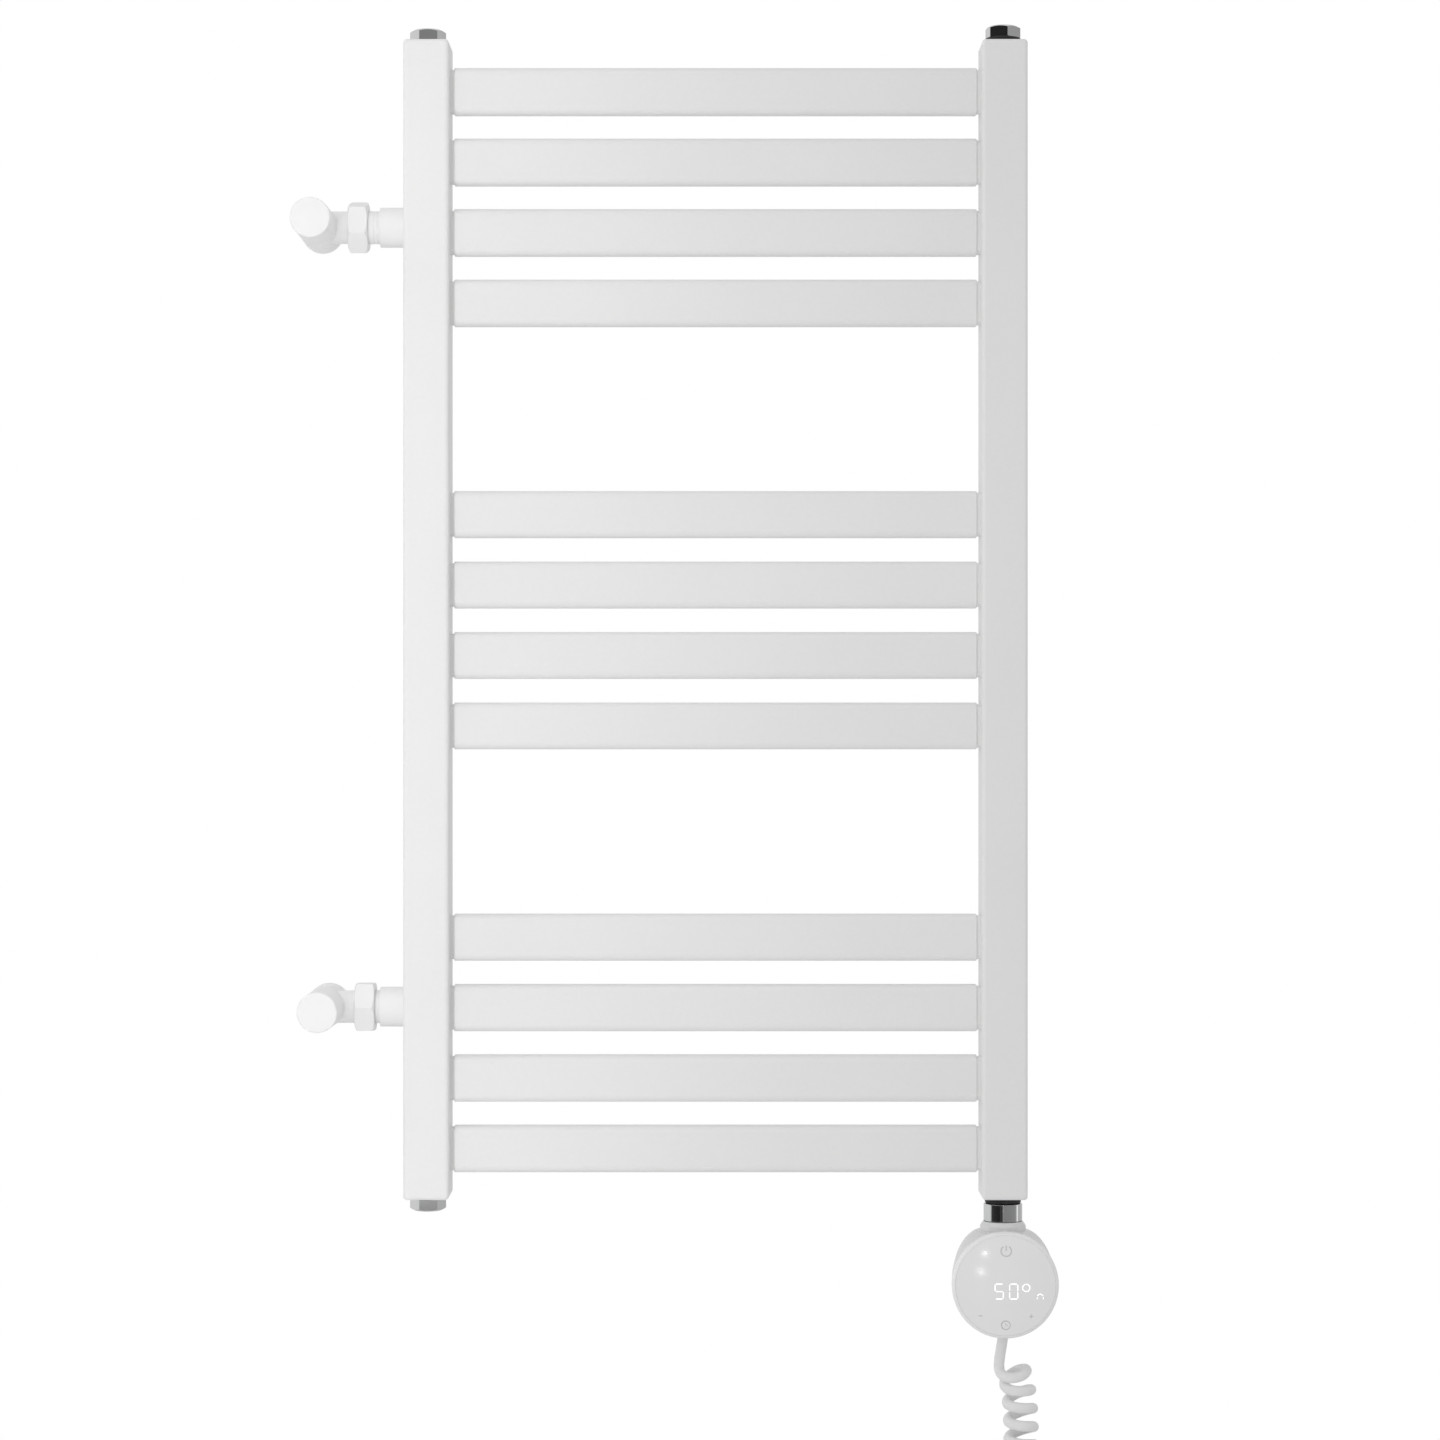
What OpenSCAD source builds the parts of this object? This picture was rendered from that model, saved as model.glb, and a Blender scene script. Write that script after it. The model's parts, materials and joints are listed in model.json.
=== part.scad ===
// Ladder radiator with two side-entry angle valves, an electric heating element
// with a touch controller, and a curly mains lead.
// X runs to the right, +Y goes into the wall, +Z is up. The wall plane is y = 0 and the
// origin is the centre of the four wall fixings.

/* [Radiator] */
// Height of the two collectors
collector_h = 740; // [730:1:800]
// Width of a collector seen from the front
collector_w = 29; // [28:1:34]
// Depth of a collector
collector_d = 40; // [38:1:44]
// Distance of each collector's axis from the middle of the radiator
collector_x = 184.5; // [140:0.5:300]
// Distance of the collector axis from the wall
stand_off = 70; // [60:1:100]
// Height of one rail
rail_h = 30; // [24:0.5:32]
// Depth of one rail
rail_d = 15; // [12:0.5:20]
// Distance from one rail slot to the next
rail_pitch = 45.2; // [40:0.1:45.5]
// Thickness of the steel tube walls
tube_wall = 1.5; // [1:0.1:2]

/* [Side connections] */
// Distance between the two valve connections
connection_pitch = 500; // [450:10:500]
// Height of the middle of the connections above the middle of the radiator
connection_rise = 2; // [-5:0.5:5]
// Distance of the upper valve's axis from the collector's outer face
valve_reach = 55.8; // [54:0.1:80]
// How much closer the lower valve is screwed in
lower_valve_in = 4.4; // [0:0.1:4.6]
// How far below the front a corner of the upper union nut stands, in degrees
upper_nut_turn = 17; // [0:1:59]

/* [Valve] */
// Diameter of the valve knob
knob_d = 25.5; // [24:0.5:28]
// Length of the valve knob
knob_len = 39.5; // [36:0.5:42]
// Width across the flats of the union nut
nut_af = 30; // [28:1:32]
// Length of the union nut
nut_len = 13; // [12:0.5:14]

/* [Controller] */
// Diameter of the controller head
head_d = 68; // [64:1:72]
// How far the head's glass stands in front of the heater axis
head_forward = 26.5; // [25:0.5:30]
// Depth of the controller head
head_depth = 48; // [46:1:50]
// Length of the heating rod above its fitting
heater_len = 420; // [300:10:600]

/* [Mains lead] */
// Diameter of the cord
cord_d = 6.6; // [6:0.1:7]
// Outside diameter of the curly part
coil_d = 23; // [22:0.5:24]

/* [Hidden] */
RAIL_SLOTS = [for (group = [0:2]) for (rail = [0:3]) group * 6 + rail];
function rail_name(i) = str("rail_", i < 9 ? "0" : "", i + 1);

fit = 0.05;                 // radial clearance of a running fit
gap = 0.3;                  // clearance between pieces that move past each other
corner_r = 2.5;             // corner radius of a collector
rail_r = 5;                 // corner radius of a rail
neck_len = 2.5;             // narrowed end of a rail, welded to the collector
neck_in = 2;                // how far the narrowed end steps in
rail_wall = 1.2;
half_h = collector_h / 2;
half_d = collector_d / 2;
inner_x = collector_x - collector_w / 2;
outer_x = collector_x + collector_w / 2;
last_slot = 15;             // rail slots run from 0 at the top; 4, 5, 10 and 11 stay empty
function rail_z(i) = (last_slot / 2 - RAIL_SLOTS[i]) * rail_pitch;

g12_bore = 9.3;             // bore radius of a half-inch female pipe thread
g12_shank = 9.2;            // radius of a half-inch male thread
cap_t = 5;                  // thickness of the welded collector ends
boss_r = 11.5;              // threaded boss inside the collector
boss_len = 10;
connection_z = [connection_rise + connection_pitch / 2, connection_rise - connection_pitch / 2];
valve_in = [0, lower_valve_in];
nut_turn = [upper_nut_turn, -1];

// bracket: a socket on the wall, a post welded to the collector and a grub screw
bracket_z = 300;
socket_r = 10.8;
socket_plate_t = 3;
socket_boss_r = 8;
socket_boss_len = 22;
wall_screw_r = 2.6;
screw_head_r = 5;
post_r = 10.5;
grub_r = 2;
grub_key_r = 1.1;
grub_height = socket_boss_len - 5;

// blank plugs and vent
plug_af = 20;
plug_head_h = 7.5;
plug_top_r = 8.6;           // radius of the flat on top of the chamfered hexagon
plug_run = 2.4;             // length of the cone that turns the corners down
plug_turn = 5;              // how far a blank plug's hexagon is turned about its axis
vent_turn = -19;            // the same for the air vent
plug_shank_len = 9;
seal_r = 11.6;
thin_seal_h = 1;
thin_seal_r = 11.2;
ring_fit = 0.1;             // radial room between a ring and what it sits on
vent_seal_h = 3.5;
vent_bore = 3;
vent_drain_r = 1.2;
vent_seat = 4;              // solid left under the vent screw
vent_pocket = 4.5;
vent_pocket_d = 3;
vent_square = 3.6;

// valve, measured along its own axis away from the wall
inlet_y = stand_off - 28;
inlet_thread_len = 12;
body_ring_r = 13.4;
body_ring_len = 13;
body_r = 12.7;
body_front = stand_off + 11.5;
seat_y = stand_off - 12;
seat_bore_r = 5.5;
chamber_r = 8.4;
bonnet_thread_r = 10;
bonnet_thread_len = 6;
bonnet_r = 8;
bonnet_front = body_front + 10.5;
bonnet_back = body_front - 8;
stem_r = 3;
stem_collar_r = 6;
stem_front = bonnet_front + 20;
washer_r = 7;
washer_t = 2;
seat_lift = 3.2;            // travel of the seat washer from open to closed
knob_back = body_front + 1;
knob_edge = 1;              // chamfer on the knob's front edge

// valve and union, measured from the valve's axis towards the collector
branch_r = 10.4;
branch_end = 19.4;
thread_r = 12;
thread_end = 24.3;
waterway_r = 6.5;
waterway_start = 5;
nut_reach = 32.4;           // far end of the union nut
nut_lip = 4;                // inner lip of the nut, which pulls on the tail's flange
nut_end_r = 12.7;           // radius of the flat on each turned end of the nut
nut_run = 2.5;              // length of the turned cone at each end of the nut
flange_t = 2.5;
union_bore = 7;
union_washer_r = 11.5;
union_washer_t = 1.5;
tail_r = 10.5;
tail_thread_len = 8;
sleeve_r = 12.75;
sleeve_len = 16;

// heating element, measured down from the collector's end
heater_seal_h = 4;
rod_r = 5;
fitting_top = -half_h + 8;
fitting_bottom = -half_h - 15;
fitting_r = 12.4;
fitting_bore = 3;
spigot_r = 9;
spigot_bottom = fitting_bottom - 15;
clip_z = spigot_bottom + 2.5;
clip_groove = 1;            // depth of the groove for the snap ring
clip_t = 1.2;
collar_r = 14.7;
collar_bottom = fitting_bottom - 6;
collar_lip = 5;             // how far the collar sits in the rear shell

// controller head
head_r = head_d / 2;
head_z = collar_bottom - head_r + 1.5;
head_front = stand_off + head_forward;
head_back = head_front - head_depth;
shell_front = head_front - 8.5;     // where the bezel meets the rear shell
shell_wall = 2;
shoulder_x = 17;            // the shell's two shoulders beside the collar
shoulder_up = 27;
shoulder_r = 6;
lens_r = head_r - 2;
lens_t = 2;
lens_fit = 0.1;
lens_seat = 3;              // width of the bezel's seat under the glass
neck_r = 13.8;              // neck of the rear shell round the spigot
neck_bottom = spigot_bottom - 2;
gland_r = 5;
gland_bottom = head_z - head_r;
board_t = 1.6;
digit_w = 7;
digit_h = 12;
digit_t = 4;
digit_step = 9;

// Routes of the lead, as steps from the point where it leaves the head, in millimetres: the
// straight lead, the axis of the curly part and the straight tail above the plug.
cord_exit = [collector_x, -stand_off, gland_bottom];
LEAD_ROUTE = [[0, 0, 0], [-0.1, 0, -3.5], [-0.5, 0, -7.5], [-1.5, 0, -12],
              [-2.6, -0.3, -16.5], [-2.9, -1, -19.5]];
COIL_AXIS = [[5.3, 0, -19.5], [8.5, 0, -32.5], [10.5, 0, -44.5], [11.5, 0, -57.5],
             [12, 0, -72.5], [12, 0, -192.5]];
TAIL_ROUTE = [[12, 0, -192.5], [12, 0, -204.5], [12, 0, -217.5], [12, 0, -230.5]];
cord_sides = 10;
coil_sides = 16;
plug_at = [12, 0, -230.5];
plug_r = 18.5;
plug_body_len = 34;
pin_r = 2.4;
pin_len = 19;
pin_pitch = 19;

white = [0.94, 0.94, 0.94];
head_white = [0.9, 0.9, 0.9];
chrome = [0.72, 0.74, 0.76];
brass = [0.78, 0.62, 0.35];
black = [0.08, 0.08, 0.08];

// ---- helpers -------------------------------------------------------------------------

// Child drawn along +Z is turned to run away from the wall, so its z is the distance from it.
module from_wall(x, z) {
    translate([x, 0, z]) rotate([90, 0, 0]) children();
}

// Child drawn along +Z is turned to run to the left, at the collector axis' depth.
module to_left(x, z) {
    translate([x, -stand_off, z]) rotate([0, -90, 0]) children();
}

module tube(r_out, r_in, from, to) {
    translate([0, 0, from]) difference() {
        cylinder(h = to - from, r = r_out, $fn = 64);
        translate([0, 0, -1]) cylinder(h = to - from + 2, r = r_in, $fn = 64);
    }
}

module rod(r, from, to) {
    translate([0, 0, from]) cylinder(h = to - from, r = r, $fn = 64);
}

module rounded_rectangle(w, h, r) {
    hull() for (sx = [-1, 1]) for (sy = [-1, 1])
        translate([sx * (w / 2 - r), sy * (h / 2 - r)]) circle(r = r, $fn = 24);
}

// Hexagon with its corners turned down by a cone at one or both ends.
module hexagon(af, h, turned_r, run, both = false) {
    corner = af / sqrt(3);
    outline = both
        ? [[0, 0], [turned_r, 0], [corner, run], [corner, h - run], [turned_r, h], [0, h]]
        : [[0, 0], [corner, 0], [corner, h - run], [turned_r, h], [0, h]];
    intersection() {
        cylinder(h = h, r = corner, $fn = 6);
        rotate_extrude($fn = 64) polygon(outline);
    }
}

// Round solid swept along a route, closed at both ends by flat faces square to the ends.
function unit(v) = v / norm(v);
function heading(route, i) =
    unit(route[min(i + 1, len(route) - 1)] - route[max(i - 1, 0)]);
function side_of(direction) = unit(cross(direction, [0, 1, 0]));
function ring(centre, direction, r, sides) = [
    for (k = [0:sides - 1])
        centre + r * (cos(360 * k / sides) * side_of(direction)
                      + sin(360 * k / sides) * cross(side_of(direction), direction))];
module swept(route, r, sides) {
    last = len(route) - 1;
    points = [for (i = [0:last]) each
        ring(route[i], i == 0 || i == last ? [0, 0, -1] : heading(route, i), r, sides)];
    walls = [for (i = [0:last - 1]) for (k = [0:sides - 1]) each
        [[i * sides + k, i * sides + (k + 1) % sides, (i + 1) * sides + k],
         [i * sides + (k + 1) % sides, (i + 1) * sides + (k + 1) % sides, (i + 1) * sides + k]]];
    ends = [[for (k = [sides - 1:-1:0]) k], [for (k = [0:sides - 1]) last * sides + k]];
    polyhedron(points, concat(walls, ends), convexity = 4);
}

// ---- radiator body -------------------------------------------------------------------

module rail_profile(inset) {
    rounded_rectangle(rail_h - 2 * inset, rail_d - 2 * inset, rail_r - inset * 0.8);
}

// Rail number i with its inside taken out by `wall`, its narrowed ends included.
module rail_outline(i, wall) {
    full = inner_x - neck_len;
    reach = inner_x + (wall > 0 ? 1 : 0);
    translate([0, -stand_off, rail_z(i)]) rotate([0, 90, 0]) {
        translate([0, 0, -full + wall]) linear_extrude(2 * (full - wall)) rail_profile(wall);
        translate([0, 0, -reach]) linear_extrude(2 * reach) rail_profile(neck_in + wall);
    }
}

module rail(i) {
    color(white) difference() {
        rail_outline(i, 0);
        rail_outline(i, rail_wall);
    }
}

module collector(side) {
    step = neck_in + rail_wall + 1;     // from a rail's outside to the window behind its end
    color(white) difference() {
        translate([side * collector_x, -stand_off, -half_h + cap_t])
            linear_extrude(collector_h - 2 * cap_t) difference() {
                rounded_rectangle(collector_w, collector_d, corner_r);
                rounded_rectangle(collector_w - 2 * tube_wall, collector_d - 2 * tube_wall,
                                  corner_r - tube_wall);
            }
        for (i = [0:len(RAIL_SLOTS) - 1])
            translate([side * inner_x, -stand_off, rail_z(i)])
                cube([4 * tube_wall, rail_d - 2 * step, rail_h - 2 * step], center = true);
        if (side < 0) for (z = connection_z)
            to_left(-outer_x, z) rod(g12_bore, -3 * tube_wall, 1);
    }
}

module collector_left() { collector(-1); }
module collector_right() { collector(1); }

// Threaded ends welded into the collectors, two at the top and two at the bottom.
module end_caps() {
    color(white) for (side = [-1, 1]) for (end = [-1, 1])
        translate([side * collector_x, -stand_off, end * (half_h - cap_t / 2)])
            difference() {
                translate([0, 0, -cap_t / 2]) linear_extrude(cap_t)
                    rounded_rectangle(collector_w, collector_d, corner_r);
                rod(g12_bore, -cap_t, cap_t);
            }
}

// Threaded bosses inside the left collector behind the two side outlets.
module outlet_bosses() {
    color(white) for (z = connection_z)
        to_left(-outer_x, z) tube(boss_r, g12_bore, -tube_wall - boss_len, -tube_wall);
}

module wall_socket(side, z) {
    from_wall(side * collector_x, z) difference() {
        union() {
            rod(socket_r, 0, socket_plate_t);
            rod(socket_boss_r, 0, socket_boss_len);
        }
        rod(wall_screw_r, -1, socket_boss_len + 1);
        rod(screw_head_r, socket_plate_t, socket_boss_len + 1);
        translate([0, 0, grub_height]) rotate([90, 0, 0]) rod(grub_r, 0, socket_r);
    }
}

module wall_sockets() {
    color(white) for (side = [-1, 1]) for (level = [-1, 1])
        wall_socket(side, level * bracket_z);
}

module bracket_post(side, z) {
    from_wall(side * collector_x, z) difference() {
        rod(post_r, socket_plate_t + gap, stand_off - half_d);
        rod(socket_boss_r + fit, 0, socket_boss_len + 2);
        translate([0, 0, grub_height]) rotate([90, 0, 0]) rod(grub_r, 0, post_r + 1);
    }
}

module bracket_posts() {
    color(white) for (side = [-1, 1]) for (level = [-1, 1])
        bracket_post(side, level * bracket_z);
}

module bracket_grub_screws() {
    color(chrome) for (side = [-1, 1]) for (level = [-1, 1])
        from_wall(side * collector_x, level * bracket_z)
            translate([0, 0, grub_height]) rotate([90, 0, 0]) difference() {
                rod(grub_r - fit, screw_head_r + 0.5, post_r - gap);
                translate([0, 0, post_r - 2.5]) cylinder(h = 3, r = grub_key_r, $fn = 6);
            }
}

// ---- blank plugs and air vent ---------------------------------------------------------

module blank_plug(seal_h, turn) {
    translate([0, 0, seal_h]) rotate([0, 0, turn])
        hexagon(plug_af, plug_head_h, plug_top_r, plug_run);
    rod(g12_shank, seal_h - plug_shank_len, seal_h + 1);
}

module plug_top_left() {
    color(chrome) translate([-collector_x, -stand_off, half_h])
        blank_plug(thin_seal_h, plug_turn);
}

module plug_bottom_left() {
    color(chrome) translate([-collector_x, -stand_off, -half_h]) mirror([0, 0, 1])
        blank_plug(thin_seal_h, plug_turn);
}

module plug_seals() {
    color(black) for (end = [-1, 1])
        translate([-collector_x, -stand_off, end * (half_h + thin_seal_h / 2)])
            tube(thin_seal_r, g12_shank + ring_fit, -thin_seal_h / 2, thin_seal_h / 2);
}

vent_bottom = vent_seal_h - plug_shank_len;
vent_top = vent_seal_h + plug_head_h;

module vent_plug() {
    color(chrome) translate([collector_x, -stand_off, half_h]) difference() {
        blank_plug(vent_seal_h, vent_turn);
        rod(vent_bore, vent_bottom + vent_seat, vent_top + 1);
        rod(vent_drain_r, vent_bottom - 1, vent_top);
        rod(vent_pocket, vent_top - vent_pocket_d, vent_top + 1);
    }
}

module vent_seal() {
    color(black) translate([collector_x, -stand_off, half_h])
        tube(seal_r, g12_shank + ring_fit, 0, vent_seal_h);
}

// Bleed screw in the vent plug, turned with a square key or a flat blade.
module vent_screw() {
    slot = [0.8, 6, 2];
    color(chrome) translate([collector_x, -stand_off, half_h]) difference() {
        union() {
            rod(vent_bore - fit, vent_bottom + vent_seat + gap, vent_top - vent_pocket_d + 0.5);
            rod(vent_pocket - gap, vent_top - vent_pocket_d + gap, vent_top - 1);
            translate([-vent_square / 2, -vent_square / 2, vent_top - 1.5])
                cube([vent_square, vent_square, 2.3]);
        }
        translate([-slot[0] / 2, -slot[1] / 2, vent_top - 0.2]) cube(slot);
    }
}

// ---- angle valves, place 0 at the top and place 1 at the bottom ------------------------

function axis_x(place) = -outer_x - valve_reach + valve_in[place];
function nut_start(place) = valve_reach - valve_in[place] - nut_reach;
function flange_start(place) = nut_start(place) + nut_lip;

module tail_sleeve(place) {
    color(white) to_left(-outer_x, connection_z[place])
        tube(sleeve_r, tail_r + ring_fit, 0, sleeve_len);
}

// Tail piece screwed into the collector, with the flange that the union nut pulls on.
module union_tail(place) {
    flange = flange_start(place);
    color(white) to_left(-outer_x, connection_z[place]) difference() {
        union() {
            rod(g12_shank, -tail_thread_len, 1);
            rod(tail_r, 0, flange);
            rod(thread_r, flange, flange + flange_t);
        }
        rod(union_bore, -tail_thread_len - 1, flange + flange_t + 1);
    }
}

module union_nut(place) {
    start = nut_start(place);
    color(white) to_left(-outer_x, connection_z[place]) difference() {
        translate([0, 0, start]) rotate([0, 0, 150 - nut_turn[place]])
            hexagon(nut_af, nut_len, nut_end_r, nut_run, true);
        rod(tail_r + ring_fit, start - 1, start + nut_lip);
        rod(thread_r + ring_fit, start + nut_lip - fit, start + nut_len + 1);
    }
}

module union_washer(place) {
    start = flange_start(place) + flange_t;
    color(black) to_left(-outer_x, connection_z[place])
        tube(union_washer_r, union_bore, start, start + union_washer_t);
}

// Angle body: pipe inlet on the wall side, seat, side branch to the union.
module valve_body(place) {
    color(white) difference() {
        union() {
            from_wall(axis_x(place), connection_z[place]) {
                rod(body_ring_r, inlet_y, inlet_y + body_ring_len);
                rod(body_r, inlet_y, body_front);
            }
            to_left(axis_x(place), connection_z[place]) {
                rod(branch_r, -branch_end, 0);
                rod(thread_r, -thread_end, -branch_end);
            }
        }
        from_wall(axis_x(place), connection_z[place]) {
            rod(g12_bore, inlet_y - 1, inlet_y + inlet_thread_len);
            rod(seat_bore_r, inlet_y, seat_y);
            rod(chamber_r, seat_y, body_front - bonnet_thread_len);
            rod(bonnet_thread_r, body_front - bonnet_thread_len, body_front + 1);
        }
        to_left(axis_x(place), connection_z[place])
            rod(waterway_r, -thread_end - 1, -waterway_start);
    }
}

// Bonnet screwed into the front of the body; the stem slides through it.
module valve_bonnet(place) {
    color(brass) from_wall(axis_x(place), connection_z[place]) difference() {
        union() {
            rod(bonnet_thread_r - fit, body_front - bonnet_thread_len, body_front);
            rod(bonnet_r, bonnet_back, bonnet_front);
        }
        rod(stem_r + fit, bonnet_back - 1, bonnet_front + 1);
    }
}

module valve_stem(place) {
    back = seat_y + seat_lift + washer_t;
    color(brass) from_wall(axis_x(place), connection_z[place]) {
        rod(stem_r, back, stem_front);
        rod(stem_collar_r, back, back + washer_t);
    }
}

module seat_washer(place) {
    color(black) from_wall(axis_x(place), connection_z[place])
        rod(washer_r, seat_y + seat_lift, seat_y + seat_lift + washer_t);
}

// Round cap knob that hides the bonnet; the stem runs in its splined hub.
module valve_knob(place) {
    front = knob_back + knob_len;
    color(white) from_wall(axis_x(place), connection_z[place]) difference() {
        union() {
            rod(knob_d / 2, knob_back, front - knob_edge);
            translate([0, 0, front - knob_edge])
                cylinder(h = knob_edge, r1 = knob_d / 2, r2 = knob_d / 2 - knob_edge, $fn = 64);
        }
        rod(bonnet_r + 1, knob_back - 1, bonnet_front + 1);
        rod(stem_r + fit, bonnet_front, stem_front + 1);
    }
}

// ---- heating element and controller ---------------------------------------------------

module on_heater_axis() {
    translate([collector_x, -stand_off, 0]) children();
}

module heating_rod() {
    color(chrome) on_heater_axis() {
        rod(rod_r, fitting_top, fitting_top + heater_len);
        translate([0, 0, fitting_top + heater_len]) sphere(r = rod_r, $fn = 48);
    }
}

// Chrome fitting: thread in the collector, plain sleeve below it, spigot for the head.
module heater_fitting() {
    sleeve_top = -half_h - heater_seal_h;
    color(chrome) on_heater_axis() difference() {
        union() {
            rod(g12_shank, sleeve_top - 1, fitting_top);
            rod(fitting_r, fitting_bottom, sleeve_top);
            rod(spigot_r, spigot_bottom, fitting_bottom + 1);
        }
        tube(spigot_r + 1, spigot_r - clip_groove, clip_z - clip_t / 2 - 0.2, clip_z + clip_t / 2 + 0.2);
        rod(fitting_bore, spigot_bottom - 1, fitting_top - 4);
    }
}

module heater_seal() {
    color(black) on_heater_axis()
        tube(seal_r, g12_shank + ring_fit, -half_h - heater_seal_h, -half_h);
}

// Snap ring that keeps the head on the spigot.
module retaining_clip() {
    color(chrome) on_heater_axis() difference() {
        tube(spigot_r + 1.6, spigot_r - clip_groove + fit, clip_z - clip_t / 2, clip_z + clip_t / 2);
        translate([0, 0, clip_z - clip_t]) rotate([0, 0, -10]) cube([2 * spigot_r, 6, 2 * clip_t]);
    }
}

module head_collar() {
    top = fitting_bottom - gap;
    color(head_white) on_heater_axis() rotate_extrude($fn = 96) polygon([
        [spigot_r + fit, collar_bottom], [collar_r - 0.6, collar_bottom],
        [collar_r, collar_bottom + 1], [collar_r, top - 2.2], [collar_r - 1, top - 0.6],
        [collar_r - 2.4, top], [spigot_r + fit, top]]);
}

// Drum of the rear shell, with a shoulder on each side of the collar.
module shell_outside() {
    rotate_extrude($fn = 128) polygon([
        [0, head_back], [head_r - 6, head_back], [head_r - 2.8, head_back + 1.2],
        [head_r - 1, head_back + 4.5], [head_r - 0.6, head_back + 10],
        [head_r, shell_front], [0, shell_front]]);
    translate([0, 0, stand_off - neck_r]) linear_extrude(2 * neck_r - 4) hull() {
        circle(r = head_r - 0.3, $fn = 128);
        for (side = [-1, 1])
            translate([side * shoulder_x, shoulder_up + head_r - 34])
                circle(r = shoulder_r, $fn = 48);
    }
}

module shell_inside() {
    inside = head_r - shell_wall;
    rotate_extrude($fn = 128) polygon([
        [0, head_back + shell_wall], [inside - 5, head_back + shell_wall],
        [inside - 1, head_back + 5], [inside, shell_front + 1], [0, shell_front + 1]]);
}

// Rear shell of the head: the hollow drum with a neck round the spigot.
module head_shell() {
    color(head_white) difference() {
        union() {
            from_wall(collector_x, head_z) difference() {
                shell_outside();
                shell_inside();
            }
            on_heater_axis() rod(neck_r, neck_bottom, collar_bottom);
        }
        on_heater_axis() {
            rod(collar_r + ring_fit, collar_bottom, collar_bottom + collar_lip);
            rod(spigot_r + fit, neck_bottom - 1, collar_bottom + 1);
            rod(spigot_r + 2.2, neck_bottom - 1, clip_z + clip_t);
            rod(gland_r, gland_bottom - 1, gland_bottom + 6);
        }
    }
}

// Bezel ring with a rounded front edge; the glass sits in it.
module front_bezel() {
    seat = head_front - lens_t - 1;
    color(head_white) from_wall(collector_x, head_z) rotate_extrude($fn = 128) polygon([
        [lens_r - lens_seat, shell_front + ring_fit], [head_r, shell_front + ring_fit],
        [head_r, head_front - 4.5], [head_r - 0.3, head_front - 3], [head_r - 1, head_front - 1.8],
        [lens_r, head_front - 1], [lens_r, seat], [lens_r - lens_seat, seat]]);
}

// Slightly domed cover glass over the display and the touch keys.
module face_lens() {
    edge = lens_r - lens_fit;
    color(head_white) from_wall(collector_x, head_z) rotate_extrude($fn = 128) polygon([
        [0, head_front - lens_t - 1], [edge, head_front - lens_t - 1],
        [edge, head_front - 1], [edge - 2, head_front - 0.6], [lens_r * 0.7, head_front - 0.3],
        [lens_r * 0.35, head_front - 0.05], [0, head_front]]);
}

module display_board() {
    color([0.1, 0.35, 0.2]) from_wall(collector_x, head_z)
        rod(lens_r - lens_fit, shell_front - board_t, shell_front);
}

// Light blocks of the two-digit display, on the board behind the glass.
module display_segments() {
    color([0.95, 0.95, 0.95]) for (digit = [0, 1])
        translate([collector_x - 6 + digit_step * digit, -shell_front - digit_t, head_z - 4])
            cube([digit_w, digit_t, digit_h]);
}

module cord_gland() {
    color(head_white) on_heater_axis()
        tube(gland_r - fit, cord_d / 2, gland_bottom - 1.5, gland_bottom + 5);
}

// ---- mains lead -----------------------------------------------------------------------

module cord_piece(route, r, sides) {
    color(head_white) translate(cord_exit) swept(route, r, sides);
}

module cord_lead() { cord_piece(LEAD_ROUTE, cord_d / 2, cord_sides); }
module cord_coil() { cord_piece(COIL_AXIS, coil_d / 2, coil_sides); }
module cord_tail() { cord_piece(TAIL_ROUTE, cord_d / 2, cord_sides); }

// Round-pin mains plug hanging on the end of the lead.
module mains_plug() {
    color(head_white) translate(cord_exit + plug_at) rotate_extrude($fn = 96) polygon([
        [0, 0], [5, 0], [6, -10], [10, -14], [plug_r - 3, -20], [plug_r, -26],
        [plug_r, -plug_body_len], [0, -plug_body_len]]);
}

module plug_pins() {
    color(chrome) for (side = [-1, 1])
        translate(cord_exit + plug_at + [side * pin_pitch / 2, 0, -plug_body_len - pin_len]) {
            rod(pin_r, pin_r, pin_len);
            translate([0, 0, pin_r]) sphere(r = pin_r, $fn = 32);
        }
}

// ---- drawing --------------------------------------------------------------------------

collector_left();
collector_right();
for (i = [0:len(RAIL_SLOTS) - 1])
    rail(i);
end_caps();
outlet_bosses();
wall_sockets();
bracket_posts();
bracket_grub_screws();
plug_top_left();
plug_bottom_left();
plug_seals();
vent_plug();
vent_seal();
vent_screw();
for (place = [0, 1]) {
    at = place == 0 ? "_top" : "_bottom";
    tail_sleeve(place);
    union_tail(place);
    union_nut(place);
    union_washer(place);
    valve_body(place);
    valve_bonnet(place);
    valve_stem(place);
    seat_washer(place);
    valve_knob(place);
}
heating_rod();
heater_fitting();
heater_seal();
retaining_clip();
head_collar();
head_shell();
front_bezel();
face_lens();
display_board();
display_segments();
cord_gland();
cord_lead();
cord_coil();
cord_tail();
mains_plug();
plug_pins();
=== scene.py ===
"""Looks of a ladder towel radiator with two angle valves and an electric heating element."""
import json
import math

import bmesh
import bpy
from mathutils import Matrix, Vector

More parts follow.
